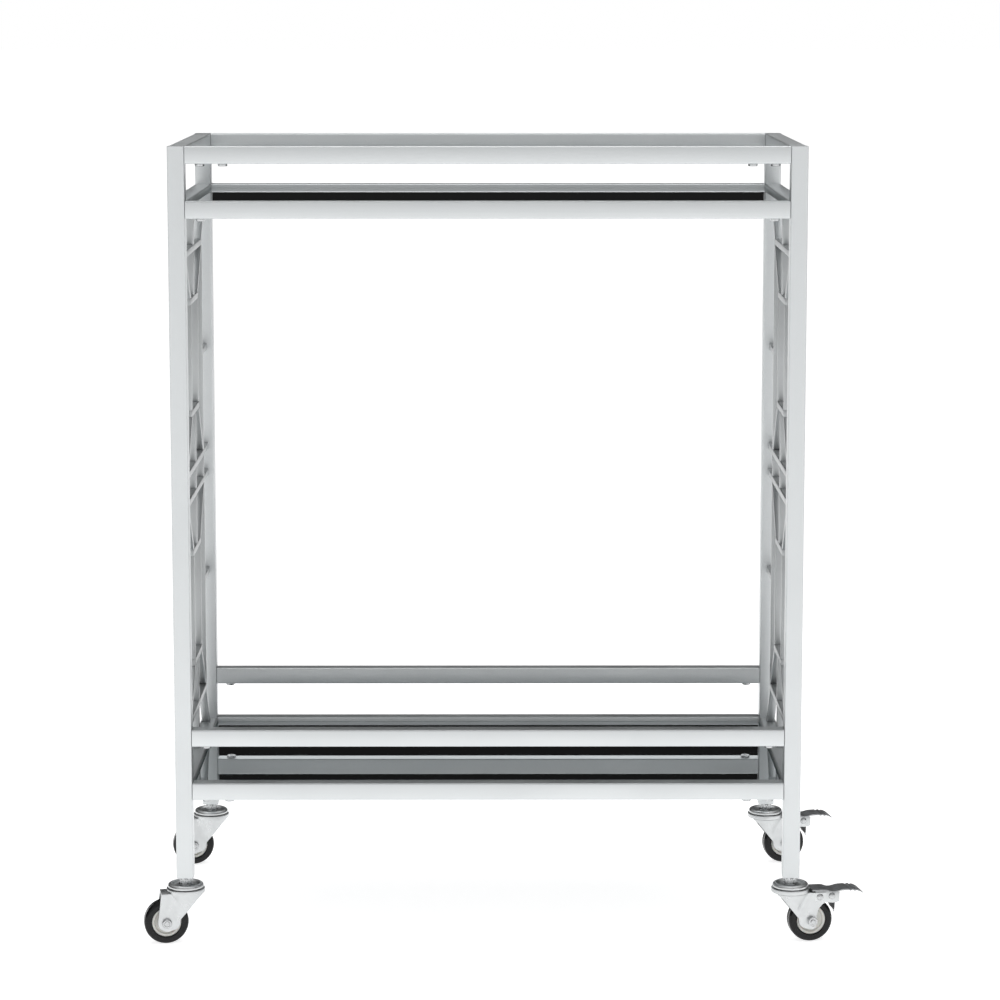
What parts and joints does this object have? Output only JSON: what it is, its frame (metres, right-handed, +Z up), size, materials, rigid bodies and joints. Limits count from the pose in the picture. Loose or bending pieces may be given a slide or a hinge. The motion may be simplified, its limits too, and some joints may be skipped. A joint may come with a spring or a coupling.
{
  "type": "bar cart",
  "caption": "Two-tier bar cart: square-tube frame, fretwork ends, inset mirror shelves, raised guard rails and swivel casters, two of them with a foot brake.",
  "frame": {"origin": "on the floor, midway between the corner posts", "axes": "+X along the cart's length towards the braked casters, +Y from front to back, +Z up"},
  "size_m": [0.8115, 0.379, 0.895],
  "materials": {
    "frame_paint": "satin silver powder coat",
    "mirror": "smoked mirror",
    "zinc": "bright zinc plate",
    "dark_zinc": "grey plated steel",
    "steel": "plain",
    "hub_plastic": "off-white moulded",
    "tyre_black": "polished black"
  },
  "bodies": {
    "frame": {"post_front_left": "frame_paint", "post_front_right": "frame_paint", "post_back_left": "frame_paint", "post_back_right": "frame_paint", "top_rail_front": "frame_paint", "top_rail_back": "frame_paint", "top_rail_left": "frame_paint", "top_rail_right": "frame_paint", "upper_bar_front": "frame_paint", "upper_bar_back": "frame_paint", "upper_bar_left": "frame_paint", "upper_bar_right": "frame_paint", "lower_bar_front": "frame_paint", "lower_bar_back": "frame_paint", "lower_bar_left": "frame_paint", "lower_bar_right": "frame_paint", "guard_rail_front": "frame_paint", "guard_rail_back": "frame_paint", "upper_mirror": "mirror", "lower_mirror": "mirror", "mirror_ledges": "frame_paint", "lattice_left": "frame_paint", "lattice_right": "frame_paint", "frame_screws": "zinc", "rail_tongues": "steel", "post_inserts": "steel", "caster_stems": "zinc", "stem_nuts": "zinc", "race_balls": "steel", "race_cap_front_left": "zinc", "race_cap_front_right": "zinc", "race_cap_back_left": "zinc", "race_cap_back_right": "zinc"},
    "swivel_front_left": {"fork_front_left": "zinc", "axle_front_left": "zinc", "axle_nut_front_left": "zinc"},
    "wheel_front_left": {"hub_front_left": "hub_plastic", "tyre_front_left": "tyre_black"},
    "swivel_front_right": {"fork_front_right": "zinc", "axle_front_right": "zinc", "axle_nut_front_right": "zinc", "brake_pivot_front_right": "zinc"},
    "wheel_front_right": {"hub_front_right": "hub_plastic", "tyre_front_right": "tyre_black"},
    "pedal_front_right": {"brake_pedal_front_right": "dark_zinc", "brake_shoe_front_right": "dark_zinc"},
    "swivel_back_left": {"fork_back_left": "zinc", "axle_back_left": "zinc", "axle_nut_back_left": "zinc"},
    "wheel_back_left": {"hub_back_left": "hub_plastic", "tyre_back_left": "tyre_black"},
    "swivel_back_right": {"fork_back_right": "zinc", "axle_back_right": "zinc", "axle_nut_back_right": "zinc", "brake_pivot_back_right": "zinc"},
    "wheel_back_right": {"hub_back_right": "hub_plastic", "tyre_back_right": "tyre_black"},
    "pedal_back_right": {"brake_pedal_back_right": "dark_zinc", "brake_shoe_back_right": "dark_zinc"}
  },
  "joints": [
    {"name": "swivel_front_left_turn", "type": "hinge", "parent": "frame", "child": "swivel_front_left", "pos_m": [-0.3405, -0.1655, 0.0625], "axis": [0, 0, 1], "continuous": true},
    {"name": "wheel_front_left_roll", "type": "hinge", "parent": "swivel_front_left", "child": "wheel_front_left", "pos_m": [-0.36266, -0.16941, 0.025], "axis": [0.1736, -0.9848, 0], "continuous": true},
    {"name": "swivel_front_right_turn", "type": "hinge", "parent": "frame", "child": "swivel_front_right", "pos_m": [0.3405, -0.1655, 0.0625], "axis": [0, 0, 1], "continuous": true},
    {"name": "wheel_front_right_roll", "type": "hinge", "parent": "swivel_front_right", "child": "wheel_front_right", "pos_m": [0.36266, -0.16159, 0.025], "axis": [-0.1736, 0.9848, 0], "continuous": true},
    {"name": "pedal_front_right_press", "type": "hinge", "parent": "swivel_front_right", "child": "pedal_front_right", "pos_m": [0.37152, -0.16003, 0.0522], "axis": [-0.1736, 0.9848, 0], "range_deg": [0, 6]},
    {"name": "swivel_back_left_turn", "type": "hinge", "parent": "frame", "child": "swivel_back_left", "pos_m": [-0.3405, 0.1655, 0.0625], "axis": [0, 0, 1], "continuous": true},
    {"name": "wheel_back_left_roll", "type": "hinge", "parent": "swivel_back_left", "child": "wheel_back_left", "pos_m": [-0.36266, 0.16159, 0.025], "axis": [0.1736, -0.9848, 0], "continuous": true},
    {"name": "swivel_back_right_turn", "type": "hinge", "parent": "frame", "child": "swivel_back_right", "pos_m": [0.3405, 0.1655, 0.0625], "axis": [0, 0, 1], "continuous": true},
    {"name": "wheel_back_right_roll", "type": "hinge", "parent": "swivel_back_right", "child": "wheel_back_right", "pos_m": [0.36266, 0.16941, 0.025], "axis": [-0.1736, 0.9848, 0], "continuous": true},
    {"name": "pedal_back_right_press", "type": "hinge", "parent": "swivel_back_right", "child": "pedal_back_right", "pos_m": [0.37152, 0.17097, 0.0522], "axis": [-0.1736, 0.9848, 0], "range_deg": [0, 6]}
  ]
}
